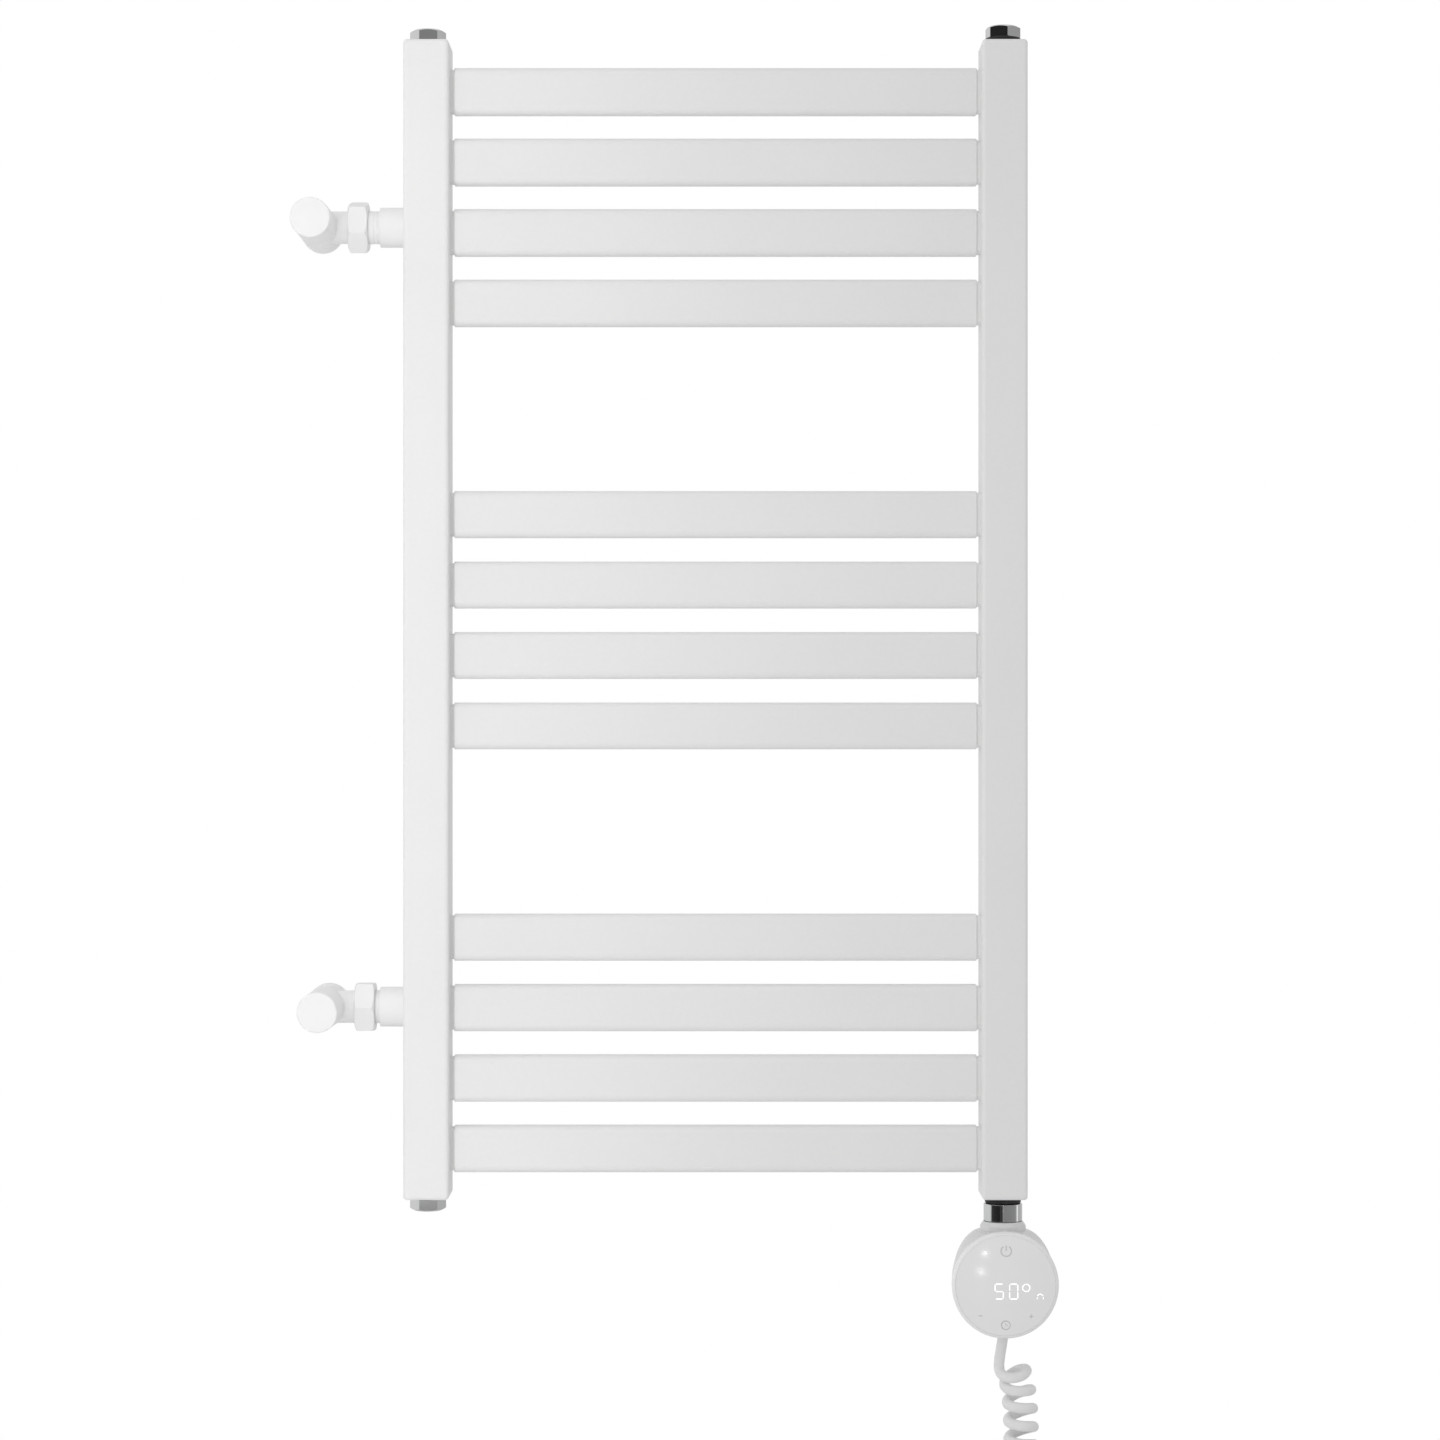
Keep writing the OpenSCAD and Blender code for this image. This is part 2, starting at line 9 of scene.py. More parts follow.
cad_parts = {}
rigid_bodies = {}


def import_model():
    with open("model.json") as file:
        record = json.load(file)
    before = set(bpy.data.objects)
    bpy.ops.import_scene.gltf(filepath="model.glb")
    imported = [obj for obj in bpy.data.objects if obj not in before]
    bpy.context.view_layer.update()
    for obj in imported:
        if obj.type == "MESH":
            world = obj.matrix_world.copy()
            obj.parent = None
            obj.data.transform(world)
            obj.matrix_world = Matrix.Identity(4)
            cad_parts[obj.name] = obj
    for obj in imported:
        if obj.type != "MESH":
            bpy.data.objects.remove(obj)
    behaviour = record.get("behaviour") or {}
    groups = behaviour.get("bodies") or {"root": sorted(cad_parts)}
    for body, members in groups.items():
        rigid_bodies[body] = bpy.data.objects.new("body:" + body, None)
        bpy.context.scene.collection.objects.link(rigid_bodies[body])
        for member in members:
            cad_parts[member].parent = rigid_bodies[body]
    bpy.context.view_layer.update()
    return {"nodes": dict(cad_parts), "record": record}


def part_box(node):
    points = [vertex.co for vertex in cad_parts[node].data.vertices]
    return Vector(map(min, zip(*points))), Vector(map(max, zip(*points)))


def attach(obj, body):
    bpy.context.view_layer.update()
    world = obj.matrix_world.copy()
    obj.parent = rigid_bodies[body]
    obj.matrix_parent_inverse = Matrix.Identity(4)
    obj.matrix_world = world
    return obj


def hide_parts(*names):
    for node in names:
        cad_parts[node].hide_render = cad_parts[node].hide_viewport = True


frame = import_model()
MM = 0.001

# Places taken from the frame, in metres.
LEFT_LOW, LEFT_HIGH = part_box("collector_left")
RIGHT_LOW, RIGHT_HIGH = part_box("collector_right")
AXIS_Y = (LEFT_LOW[1] + LEFT_HIGH[1]) / 2
LEFT_X = (LEFT_LOW[0] + LEFT_HIGH[0]) / 2
RIGHT_X = (RIGHT_LOW[0] + RIGHT_HIGH[0]) / 2
TOP_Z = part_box("end_caps")[1][2]
HEAD_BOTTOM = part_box("head_shell")[0][2]
HEAD_R = 34
HEAD_Z = HEAD_BOTTOM + HEAD_R * MM
FACE_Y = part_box("face_lens")[0][1]
PLUG_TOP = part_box("mains_plug")[1][2]
PLUG_X = (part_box("mains_plug")[0][0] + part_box("mains_plug")[1][0]) / 2
RAIL_NODES = sorted(name for name in frame["nodes"] if name.startswith("rail_"))
VALVES = ("top", "bottom")


def middle(node):
    """Centre of a CAD node's box."""
    low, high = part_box(node)
    return [(a + b) / 2 for a, b in zip(low, high)]


def smooth_step(value, low, high):
    """Eases from 0 at the low value to 1 at the high one."""
    part = min(max((value - low) / (high - low), 0), 1)
    return part * part * (3 - 2 * part)


# ---- camera and the mains lead ---------------------------------------------------------

def add_camera():
    """Level camera in front of the radiator, a little below its middle."""
    data = bpy.data.cameras.new("camera")
    data.lens = 93.75
    data.clip_end = 20
    camera = bpy.data.objects.new("camera", data)
    camera.location = (0.0029, -2.4775, -0.064)
    camera.rotation_euler = (math.radians(90), 0, 0)
    bpy.context.scene.collection.objects.link(camera)
    bpy.context.scene.camera = camera


CORD_D = 6.8 * MM
LEAD_ROUTE = [(184.5, -70, -457.5), (184.4, -70, -461), (184, -70, -465), (183, -70, -469.5),
              (182.1, -70, -474.2)]
LOOSE_TURNS = 4
LOOSE_PITCH = 11.75
TIGHT_PITCH = 7.6
COIL_START = -477.5
COIL_END = -642
STEPS_PER_TURN = 28
COIL_X = 196.5
COIL_Y = -70
COIL_R = 8.1
COIL_LEAN = 0.9
CLOSING_STEPS = 24
CLOSING_DROP = 26


def settling(start, end, turns, turn):
    """A value that goes from start towards end, most of the way within a number of turns."""
    return end + (start - end) * math.exp(-turn / turns)


def cord_points():
    """The lead's own points, the curly part's helix worked out turn by turn, then the tail.

    The first loop is tighter than the rest, lies further left and dips to the front."""
    points = list(LEAD_ROUTE)
    start = len(points)
    turn = 0.0
    height = COIL_START
    while height > COIL_END:
        angle = 2 * math.pi * turn
        radius = settling(7.8, COIL_R, 0.9, turn)
        centre_x = settling(189.1, COIL_X, 1.1, turn)
        lean = settling(2.2, COIL_LEAN, 1.3, turn)
        dip = settling(6.5, 0, 0.8, turn)
        points.append((centre_x - radius * math.cos(angle), COIL_Y - radius * math.sin(angle),
                       height - lean * math.cos(angle) - dip * math.sin(angle)))
        blend = min(max((turn - LOOSE_TURNS) / 1.5, 0), 1)
        pitch = LOOSE_PITCH + (TIGHT_PITCH - LOOSE_PITCH) * blend
        turn += 1 / STEPS_PER_TURN
        height -= pitch / STEPS_PER_TURN
    for step in range(CLOSING_STEPS):
        part = (step + 1) / CLOSING_STEPS
        radius = COIL_R * (1 - smooth_step(part, 0, 1))
        angle = 2 * math.pi * turn
        points.append((COIL_X - radius * math.cos(angle), COIL_Y - radius * math.sin(angle),
                       height - COIL_LEAN * math.cos(angle) * (1 - part)))
        turn += 0.8 / STEPS_PER_TURN
        height -= (TIGHT_PITCH * 0.9 + CLOSING_DROP * part) / STEPS_PER_TURN
    end = PLUG_TOP / MM
    steps = math.ceil((height - end) / 2)
    for step in range(steps + 1):
        points.append((PLUG_X / MM, COIL_Y, height + (end - height) * step / steps))
    return [Vector(p) * MM for p in points], start


def smoothed(points, first, last, rounds):
    """Evens out the joins between the lead and the helix."""
    for _ in range(rounds):
        middle_part = [(points[i - 1] + 2 * points[i] + points[i + 1]) / 4
                       for i in range(first, last)]
        points[first:last] = middle_part
    return points


# ---- shader maths ------------------------------------------------------------------------

class Value:
    """A shader socket; an operator on it adds the Math node that works it out."""

    def __init__(self, nodes, socket):
        self.nodes = nodes
        self.socket = socket

    def _math(self, operation, first, second):
        return self.nodes.node("ShaderNodeMath", {"operation": operation}, {0: first, 1: second})

    def __add__(self, other):
        return self._math("ADD", self, other)

    __radd__ = __add__

    def __mul__(self, other):
        return self._math("MULTIPLY", self, other)

    __rmul__ = __mul__


class Nodes:
    """The node tree of a material or of the world, and the shader that its nodes feed."""

    def __init__(self, tree, shader):
        self.tree = tree
        self.shader = tree.nodes[shader]

    def node(self, kind, settings=None, sockets=None, output=0):
        """Adds one node: its settings first, then its sockets, and gives one output back."""
        made = self.tree.nodes.new(kind)
        for name, value in (settings or {}).items():
            if name == "stops":
                self._set_stops(made.color_ramp, value)
            else:
                setattr(made, name, value)
        for key, value in (sockets or {}).items():
            if isinstance(value, Value):
                self.tree.links.new(value.socket, made.inputs[key])
            else:
                made.inputs[key].default_value = value
        return Value(self, made.outputs[output])

    def _set_stops(self, ramp, stops):
        while len(ramp.elements) < len(stops):
            ramp.elements.new(0.5)
        for element, (position, colour) in zip(ramp.elements, stops):
            element.position = position
            element.color = colour

    def ramp(self, value, stops):
        return self.node("ShaderNodeValToRGB", {"stops": stops}, {"Fac": value})

    def mix(self, factor, first, second):
        """Colour between two colours."""
        return self.node("ShaderNodeMix", {"data_type": "RGBA"},
                         {0: factor, 6: first, 7: second}, output=2)

    def feed(self, socket, value):
        self.tree.links.new(value.socket, self.shader.inputs[socket])


class Finish(Nodes):
    """A procedural material: one Principled shader and the nodes that feed it."""

    def __init__(self, name, **constants):
        self.material = bpy.data.materials.new(name)
        self.material.use_nodes = True
        super().__init__(self.material.node_tree, "Principled BSDF")
        for socket, value in constants.items():
            self.shader.inputs[socket.replace("_", " ")].default_value = value
        self.place = self.node("ShaderNodeTexCoord", output="Object")

    def noise(self, scale, detail=2.0, roughness=0.5, stretch=None):
        """Noise over the piece, from 0 to 1; stretch squeezes it along the axes."""
        where = self.place
        if stretch:
            where = self.node("ShaderNodeMapping", None, {"Vector": where, "Scale": stretch})
        return self.node("ShaderNodeTexNoise", None,
                         {"Vector": where, "Scale": scale, "Detail": detail,
                          "Roughness": roughness})

    def bump(self, height, distance, strength=1.0, under=None):
        sockets = {"Height": height, "Distance": distance, "Strength": strength}
        if under:
            sockets["Normal"] = under
        return self.node("ShaderNodeBump", None, sockets)


def grey(level, warmth=0.0):
    """Colour of a grey level, a touch redder than blue where it is warm."""
    return (level + warmth, level, level - warmth, 1.0)


def powder_coat(name, level):
    """Satin powder coat: a fine orange peel, and a slow drift in tone and sheen."""
    finish = Finish(name, IOR=1.45)
    drift = finish.noise(9, 3)
    fine = finish.noise(420, 3, 0.6)
    finish.feed("Base Color", finish.ramp(0.6 * drift + 0.4 * fine, [
        (0.3, grey(level - 0.022, 0.002)), (0.7, grey(level + 0.012, 0.002))]))
    finish.feed("Roughness", 0.4 + 0.12 * finish.noise(60, 2))
    peel = finish.bump(finish.noise(1300, 2, 0.45), 0.00006)
    finish.feed("Normal", finish.bump(finish.noise(260, 2), 0.00009, under=peel))
    return finish.material


def valve_lacquer():
    """Gloss white lacquer over a brass forging, softly uneven."""
    finish = Finish("valve_lacquer", IOR=1.45, Coat_Weight=0.25, Coat_Roughness=0.12)
    drift = finish.noise(45, 3)
    finish.feed("Base Color", finish.ramp(drift, [
        (0.3, grey(0.9, 0.001)), (0.7, grey(0.93, 0.001))]))
    finish.feed("Roughness", 0.26 + 0.14 * finish.noise(130, 2))
    finish.feed("Normal", finish.bump(finish.noise(330, 3), 0.00012))
    return finish.material


def polished_chrome():
    """Bright chrome plate with faint wiping marks and a little haze."""
    finish = Finish("polished_chrome", Metallic=1.0)
    haze = finish.noise(35, 3)
    wiping = finish.noise(300, 2, stretch=(1, 1, 0.06))
    finish.feed("Base Color", finish.ramp(haze, [
        (0.3, grey(0.6, -0.006)), (0.7, grey(0.66, -0.004))]))
    finish.feed("Roughness", 0.045 + 0.04 * haze + 0.02 * wiping)
    finish.feed("Normal", finish.bump(wiping, 0.000004))
    return finish.material


def plated_steel(name, level, roughness, grain):
    """Drawn or plated steel; grain is how the draw lines are squeezed along the axes."""
    finish = Finish(name, Metallic=1.0)
    lines = finish.noise(900, 3, stretch=grain)
    finish.feed("Base Color", finish.ramp(lines, [
        (0.3, grey(level - 0.05)), (0.7, grey(level + 0.03))]))
    finish.feed("Roughness", roughness + 0.14 * lines)
    finish.feed("Normal", finish.bump(lines, 0.00001))
    return finish.material


def machined_brass():
    """Bright turned brass with fine tool lines."""
    finish = Finish("machined_brass", Metallic=1.0)
    lines = finish.noise(1200, 2, stretch=(0.15, 1, 0.15))
    finish.feed("Base Color", finish.ramp(lines, [
        (0.3, (0.68, 0.47, 0.2, 1)), (0.7, (0.8, 0.6, 0.3, 1))]))
    finish.feed("Roughness", 0.24 + 0.14 * lines)
    finish.feed("Normal", finish.bump(lines, 0.000012))
    return finish.material


def black_rubber():
    """Matt black rubber with a greyish bloom."""
    finish = Finish("black_rubber", IOR=1.45)
    bloom = finish.noise(160, 4, 0.6)
    finish.feed("Base Color", finish.ramp(bloom, [(0.3, grey(0.016)), (0.8, grey(0.034))]))
    finish.feed("Roughness", 0.5 + 0.25 * bloom)
    finish.feed("Normal", finish.bump(finish.noise(900, 2), 0.00003))
    return finish.material


def gloss_moulding(name, level, roughness):
    """Glossy injection moulding with a barely uneven surface."""
    finish = Finish(name, IOR=1.49)
    drift = finish.noise(30, 2)
    finish.feed("Base Color", finish.ramp(drift, [
        (0.3, grey(level - 0.01)), (0.7, grey(level + 0.01))]))
    finish.feed("Roughness", roughness + 0.06 * finish.noise(90, 2))
    return finish.material


def soft_pvc():
    """Cord and plug jacket: soft white PVC, satin, with a fine extruded skin."""
    finish = Finish("soft_pvc", IOR=1.4)
    mottled = finish.noise(120, 3)
    finish.feed("Base Color", finish.ramp(mottled, [
        (0.3, grey(0.87, 0.002)), (0.7, grey(0.9, 0.002))]))
    finish.feed("Roughness", 0.36 + 0.14 * mottled)
    finish.feed("Normal", finish.bump(finish.noise(1500, 2), 0.00002))
    return finish.material


def key_print():
    """Faint grey print of the touch keys."""
    finish = Finish("key_print", IOR=1.49, Coat_Weight=0.6, Coat_Roughness=0.05)
    speckle = finish.noise(2500, 1)
    finish.feed("Base Color", finish.ramp(speckle, [(0.2, grey(0.68)), (0.8, grey(0.72))]))
    finish.feed("Roughness", 0.2 + 0.1 * speckle)
    return finish.material


def display_light():
    """White light of the display, a little stronger in the middle of a stroke."""
    finish = Finish("display_light", Emission_Strength=0.9)
    glow = finish.noise(700, 1)
    finish.feed("Base Color", finish.ramp(glow, [(0.2, grey(0.9)), (0.8, grey(0.95))]))
    finish.feed("Emission Color", finish.ramp(glow, [(0.2, grey(0.9)), (0.8, grey(1.0))]))
    return finish.material


def solder_mask():
    """Green lacquer of the circuit board, darker between its tracks."""
    finish = Finish("solder_mask", IOR=1.5, Coat_Weight=0.4, Coat_Roughness=0.1)
    tracks = finish.noise(400, 1, stretch=(1, 1, 0.2))
    finish.feed("Base Color", finish.ramp(tracks, [
        (0.45, (0.02, 0.16, 0.07, 1)), (0.55, (0.03, 0.24, 0.1, 1))]))
    finish.feed("Roughness", 0.3 + 0.15 * tracks)
    finish.feed("Normal", finish.bump(tracks, 0.00003))
    return finish.material


POWDER = powder_coat("powder_coat", 0.9)
BRACKET = powder_coat("bracket_coat", 0.88)
LACQUER = valve_lacquer()
CHROME = polished_chrome()
STEEL = plated_steel("plated_steel", 0.6, 0.25, (1, 0.2, 1))
ELEMENT = plated_steel("element_steel", 0.55, 0.3, (1, 1, 0.05))
NICKEL = plated_steel("nickel_plate", 0.66, 0.12, (1, 1, 0.1))
BRASS = machined_brass()
RUBBER = black_rubber()
# Shell and collar: the same white moulding as the bezel, painted a darker grey as painted shade for
# the drum's sides and shoulders.
HEAD = gloss_moulding("head_moulding_painted_shade", 0.77, 0.12)
FACE = gloss_moulding("face_glass", 0.94, 0.07)
BEZEL = gloss_moulding("bezel_moulding", 0.95, 0.12)
PVC = soft_pvc()
PRINT = key_print()
LIGHT = display_light()
BOARD = solder_mask()

# What each material slot of the record looks like.
SLOT_LOOKS = {
    "powder_coat": POWDER, "bracket_white": BRACKET, "steel": STEEL, "chrome": CHROME,
    "rubber": RUBBER, "valve_white": LACQUER, "brass": BRASS, "element_steel": ELEMENT,
    "head_white": HEAD, "face_gloss": FACE, "circuit_board": BOARD, "display_light": LIGHT,
    "cord_white": PVC, "pin_metal": NICKEL,
}
NODE_SLOT = {entry["node"]: entry["material_slot"] for entry in frame["record"]["subparts"]}
NODE_BODY = {node: body for body, nodes in frame["record"]["behaviour"]["bodies"].items()
             for node in nodes}


# ---- mesh tools ---------------------------------------------------------------------------

SHARP = math.radians(32)


def from_wall(x, z):
    """Local +Z runs away from the wall, starting at the wall plane."""
    return Matrix.Translation((x, 0, z)) @ Matrix.Rotation(math.radians(90), 4, "X")


def to_left(x, z):
    """Local +Z runs to the left at the depth of the collector axes."""
    return Matrix.Translation((x, AXIS_Y, z)) @ Matrix.Rotation(math.radians(-90), 4, "Y")


def upright(x, z):
    """Local +Z runs up at the depth of the collector axes."""
    return Matrix.Translation((x, AXIS_Y, z))


def rounded_outline(corners, steps=5):
    """Outline of (radius, height, fillet) corners in millimetres, its fillets as arcs."""
    points = []
    for i, (r, h, *fillet) in enumerate(corners):
        corner = Vector((r, h))
        if not fillet:
            points.append(corner)
            continue
        before = (Vector(corners[i - 1][:2]) - corner).normalized()
        after = (Vector(corners[(i + 1) % len(corners)][:2]) - corner).normalized()
        half = before.angle(after) / 2
        centre = corner + (before + after).normalized() * fillet[0] / math.sin(half)
        first = corner + before * fillet[0] / math.tan(half) - centre
        last = corner + after * fillet[0] / math.tan(half) - centre
        sweep = math.atan2(first.x * last.y - first.y * last.x, first.dot(last))
        for step in range(steps + 1):
            cos, sin = math.cos(sweep * step / steps), math.sin(sweep * step / steps)
            points.append(centre + Vector((first.x * cos - first.y * sin,
                                           first.x * sin + first.y * cos)))
    return points


def turned(bm, corners, place, steps=96, fillet_steps=5):
    """Adds a lathe-turned solid; an outline that starts on the axis also ends on it."""
    outline = rounded_outline(corners, fillet_steps)
    before = set(bm.verts)
    verts = [bm.verts.new((p.x * MM, 0, p.y * MM)) for p in outline]
    pairs = list(zip(verts, verts[1:]))
    if outline[0].x > 0:
        pairs.append((verts[-1], verts[0]))
    edges = [bm.edges.new(pair) for pair in pairs]
    bmesh.ops.spin(bm, geom=verts + edges, cent=(0, 0, 0), axis=(0, 0, 1), dvec=(0, 0, 0),
                   angle=2 * math.pi, steps=steps, use_merge=True, use_duplicate=False)
    bmesh.ops.remove_doubles(bm, verts=[v for v in bm.verts if v not in before], dist=1e-7)
    fresh = [v for v in bm.verts if v not in before]
    bmesh.ops.transform(bm, matrix=place, verts=fresh)


def shade(mesh, sharp=SHARP):
    """Smooth shading with the edges that turn more than `sharp` kept crisp."""
    bm = bmesh.new()
    bm.from_mesh(mesh)
    for face in bm.faces:
        face.smooth = True
    for edge in bm.edges:
        edge.smooth = not (len(edge.link_faces) == 2 and edge.calc_face_angle(0) > sharp)
    bm.to_mesh(mesh)
    bm.free()


def make_object(bm, name, sharp=SHARP):
    """Turns a finished bmesh into an object of the scene."""
    bmesh.ops.remove_doubles(bm, verts=bm.verts, dist=1e-7)
    bmesh.ops.recalc_face_normals(bm, faces=bm.faces)
    mesh = bpy.data.meshes.new(name)
    bm.to_mesh(mesh)
    bm.free()
    shade(mesh, sharp)
    piece = bpy.data.objects.new(name, mesh)
    bpy.context.scene.collection.objects.link(piece)
    return piece


def settle(piece, *nodes, look=None):
    """Gives a piece its look, body and slot, and lets it stand for its CAD nodes."""
    slot = NODE_SLOT[nodes[0]]
    piece.data.materials.clear()
    piece.data.materials.append(look or SLOT_LOOKS[slot])
    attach(piece, NODE_BODY[nodes[0]])
    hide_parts(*nodes)
    return piece


def turned_piece(name, corners, place, *nodes, steps=96, sharp=SHARP):
    """Lathe-turned piece that stands for its CAD nodes."""
    bm = bmesh.new()
    turned(bm, corners, place, steps)
    return settle(make_object(bm, name, sharp), *nodes)


def apply_modifiers(piece):
    """Bakes a piece's modifiers into its mesh."""
    graph = bpy.context.evaluated_depsgraph_get()
    mesh = bpy.data.meshes.new_from_object(piece.evaluated_get(graph))
    piece.modifiers.clear()
    piece.data = mesh


def combine(piece, other, operation):
    """Boolean of two closed pieces; the other one is used up."""
    cut = piece.modifiers.new("cut", "BOOLEAN")
    cut.operation = operation
    cut.solver = "EXACT"
    cut.object = other
    apply_modifiers(piece)
    bpy.data.objects.remove(other)


def soften(piece, width, angle=24, segments=2):
    """Rounds the crisp edges of a machined piece."""
    bm = bmesh.new()
    bm.from_mesh(piece.data)
    limit = math.radians(angle)
    edges = [e for e in bm.edges if len(e.link_faces) == 2 and e.calc_face_angle(0) > limit]
    bmesh.ops.bevel(bm, geom=edges, offset=width * MM, offset_type="OFFSET", segments=segments,
                    profile=0.5, affect="EDGES", clamp_overlap=True, material=-1)
    bm.to_mesh(piece.data)
    bm.free()
    shade(piece.data)


def prism(name, across_flats, low, high, turn, place):
    """Hexagonal bar between two heights, in millimetres."""
    bm = bmesh.new()
    made = bmesh.ops.create_circle(bm, cap_ends=True, segments=6,
                                   radius=across_flats / math.sqrt(3) * MM)
    spun = (Matrix.Translation((0, 0, low * MM))
            @ Matrix.Rotation(math.radians(turn + 30), 4, "Z"))
    bmesh.ops.transform(bm, matrix=spun, verts=made["verts"])
    pulled = bmesh.ops.extrude_face_region(bm, geom=list(bm.faces))
    top = [v for v in pulled["geom"] if isinstance(v, bmesh.types.BMVert)]
    bmesh.ops.translate(bm, vec=(0, 0, (high - low) * MM), verts=top)
    bmesh.ops.transform(bm, matrix=place, verts=bm.verts)
    return make_object(bm, name)


def hexagon_piece(name, across_flats, corners, turn, place, *nodes, rounding=0.25):
    """Hexagonal bar turned down to an outline, with its crisp edges rounded."""
    heights = [corner[1] for corner in corners]
    piece = prism(name, across_flats, min(heights) - 1, max(heights) + 1, turn, place)
    bm = bmesh.new()
    turned(bm, corners, place)
    combine(piece, make_object(bm, name + "_form"), "INTERSECT")
    soften(piece, rounding)
    return settle(piece, *nodes)


def quarter_round(radius, steps=5):
    """Inward and outward steps, in millimetres, that round the end of a bar."""
    arc = [(radius * (1 - math.cos(a)), radius * math.sin(a))
           for a in (math.pi / 2 * step / steps for step in range(steps + 1))]
    return [(b[0] - a[0], b[1] - a[1]) for a, b in zip(arc, arc[1:])]


def flat_bar(bm, section, low, high, place, low_end=(), high_end=()):
    """Adds a bar of rounded-rectangle section; steps in and out shape its two ends."""
    width, height, radius = section
    before = set(bm.verts)
    verts = bmesh.ops.create_cube(bm, size=1)["verts"]
    bmesh.ops.scale(bm, vec=Vector((width, height, high - low)) * MM, verts=verts)
    bmesh.ops.translate(bm, vec=(0, 0, (low + high) / 2 * MM), verts=verts)
    long_edges = [e for e in bm.edges if e.verts[0] not in before
                  and abs(e.verts[0].co.z - e.verts[1].co.z) > 0.5 * (high - low) * MM]
    bmesh.ops.bevel(bm, geom=long_edges, offset=radius * MM, offset_type="OFFSET", segments=8,
                    profile=0.5, affect="EDGES", clamp_overlap=True, material=-1)
    bm.normal_update()
    faces = [f for f in bm.faces if f.verts[0] not in before]
    for steps, sign in ((low_end, -1), (high_end, 1)):
        face = next(f for f in faces if f.normal.z * sign > 0.9)
        for inward, outward in steps:
            bmesh.ops.inset_individual(bm, faces=[face], thickness=inward * MM,
                                       depth=outward * MM, use_even_offset=True)
    fresh = [v for v in bm.verts if v not in before]
    bmesh.ops.transform(bm, matrix=place, verts=fresh)


def refined(node, rounding=0.2, angle=30):
    """Copy of a CAD node with its triangles merged and its crisp edges rounded."""
    mesh = frame["nodes"][node].data.copy()
    mesh.name = node + "_finished"
    bm = bmesh.new()
    bm.from_mesh(mesh)
    bmesh.ops.remove_doubles(bm, verts=bm.verts, dist=1e-6)
    bmesh.ops.dissolve_limit(bm, angle_limit=math.radians(1), verts=bm.verts, edges=bm.edges,
                             delimit=set())
    bm.to_mesh(mesh)
    bm.free()
    piece = bpy.data.objects.new(mesh.name, mesh)
    bpy.context.scene.collection.objects.link(piece)
    if rounding:
        soften(piece, rounding, angle)
    shade(mesh)
    return settle(piece, node)


# ---- radiator body ----------------------------------------------------------------------

COLLECTOR = (29, 40, 2.5)
HALF_H = TOP_Z / MM
CAP_T = 5
CAP_ROUND = 2.4
RAIL = (30, 15, 5)
RAIL_END = 167.5
RAIL_SHOULDER = 0.8
NECK_END = 170.2


def add_collectors():
    """Two upright tubes and the four welded ends with rounded rims."""
    for node, x in (("collector_left", LEFT_X), ("collector_right", RIGHT_X)):
        bm = bmesh.new()
        flat_bar(bm, COLLECTOR, CAP_T - HALF_H, HALF_H - CAP_T, upright(x, 0))
        settle(make_object(bm, node + "_tube"), node)
    bm = bmesh.new()
    flat = HALF_H - CAP_ROUND
    for x in (LEFT_X, RIGHT_X):
        flat_bar(bm, COLLECTOR, HALF_H - CAP_T, flat, upright(x, 0),
                 high_end=quarter_round(CAP_ROUND))
        flat_bar(bm, COLLECTOR, -flat, CAP_T - HALF_H, upright(x, 0),
                 low_end=quarter_round(CAP_ROUND))
    settle(make_object(bm, "welded_ends"), "end_caps")


def add_rails():
    """Twelve flat rails, each drawn in at its ends and welded to the collectors."""
    straight = RAIL_END - RAIL_SHOULDER
    end = quarter_round(RAIL_SHOULDER) + [(0.3, 0), (0, NECK_END - RAIL_END)]
    for node in RAIL_NODES:
        place = Matrix.Translation(middle(node)) @ Matrix.Rotation(math.radians(90), 4, "Y")
        bm = bmesh.new()
        flat_bar(bm, RAIL, -straight, straight, place, low_end=end, high_end=end)
        settle(make_object(bm, node + "_flat"), node)


def add_brackets():
    """Wall brackets; only the grub screws get softened edges."""
    for node in ("wall_sockets", "bracket_posts"):
        refined(node, rounding=0)
    refined("bracket_grub_screws", rounding=0.1)


# ---- blank plugs and air vent -----------------------------------------------------------

PLUG_FLATS = 20
PLUG_HEAD_H = 7.5
PLUG_SHANK = 9
PLUG_TURN = 5    # degrees about the plug's axis
VENT_TURN = -19
FLAT_SEAL_H = 1
VENT_SEAL_H = 3.5

def plug_outline(seal, pocket=False):
    """Blank plug, upward: thread, then the hexagonal head above its seal."""
    head = seal + PLUG_HEAD_H
    outline = [(9.2, seal - PLUG_SHANK, 0.6), (9.2, seal), (11.2, seal, 0.2), (11.75, seal + 0.5),
               (11.75, head - 1.7), (8.6, head, 1.2)]
    if pocket:
        return [(3, seal - PLUG_SHANK)] + outline + [(4.5, head, 0.25), (4.5, head - 3), (3, head - 3)]
    return [(0, seal - PLUG_SHANK)] + outline + [(0, head)]


